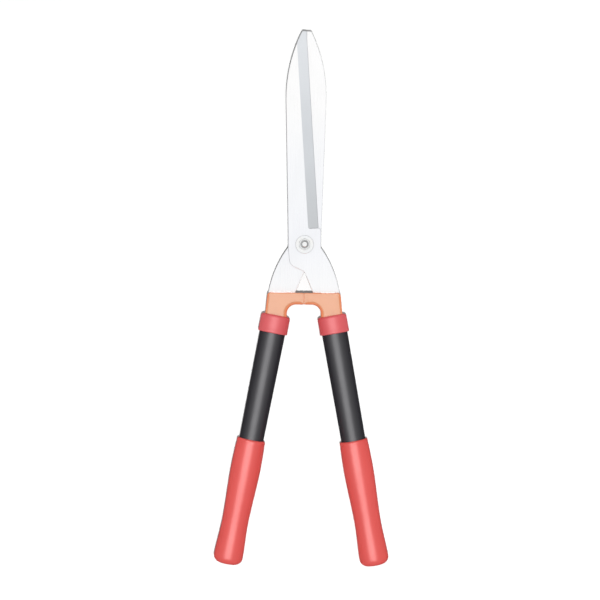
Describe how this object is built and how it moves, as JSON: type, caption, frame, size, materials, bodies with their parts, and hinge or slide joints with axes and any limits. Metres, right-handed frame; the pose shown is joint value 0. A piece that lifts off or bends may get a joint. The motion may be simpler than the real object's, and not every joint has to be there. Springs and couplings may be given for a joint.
{
  "type": "grass shears",
  "caption": "Two-handed garden shears: long straight blades on a pivot bolt, cushioned ferrules that stop the closing, tubular handles and soft waisted grips.",
  "frame": {"origin": "on the pivot axis, in the plane where the two blades slide over each other", "axes": "+Z along the pivot bolt towards its nut, +Y towards the blades' tip along the middle line of the closed shears, +X towards the right-hand handle"},
  "size_m": [0.1804, 0.5517, 0.031],
  "materials": {
    "blade_steel": "satin ground and clear-coated steel",
    "zinc_steel": "bright zinc plate",
    "rivet_steel": "plain steel",
    "nylon": "moulded nylon",
    "orange_rubber": "satin soft moulding, pale orange",
    "red_plastic": "glossy moulded plastic, red",
    "black_paint": "satin black powder coat",
    "red_vinyl": "glossy soft vinyl, red"
  },
  "bodies": {
    "lower_half": {"rear_blade": "blade_steel", "pivot_bolt": "zinc_steel", "front_washer": "zinc_steel", "pivot_nut": "zinc_steel", "nut_lock_ring": "nylon", "left_ferrule": "orange_rubber", "left_collar": "red_plastic", "left_tube": "black_paint", "left_tang_socket": "nylon", "left_tang_rivets": "rivet_steel", "left_tube_plug": "nylon", "left_grip": "red_vinyl"},
    "upper_half": {"front_blade": "blade_steel", "right_ferrule": "orange_rubber", "right_collar": "red_plastic", "right_tube": "black_paint", "right_tang_socket": "nylon", "right_tang_rivets": "rivet_steel", "right_tube_plug": "nylon", "right_grip": "red_vinyl"}
  },
  "joints": [
    {"name": "pivot", "type": "hinge", "parent": "lower_half", "child": "upper_half", "pos_m": [0, 0, 0], "axis": [0, 0, 1], "range_deg": [0, 120]}
  ]
}
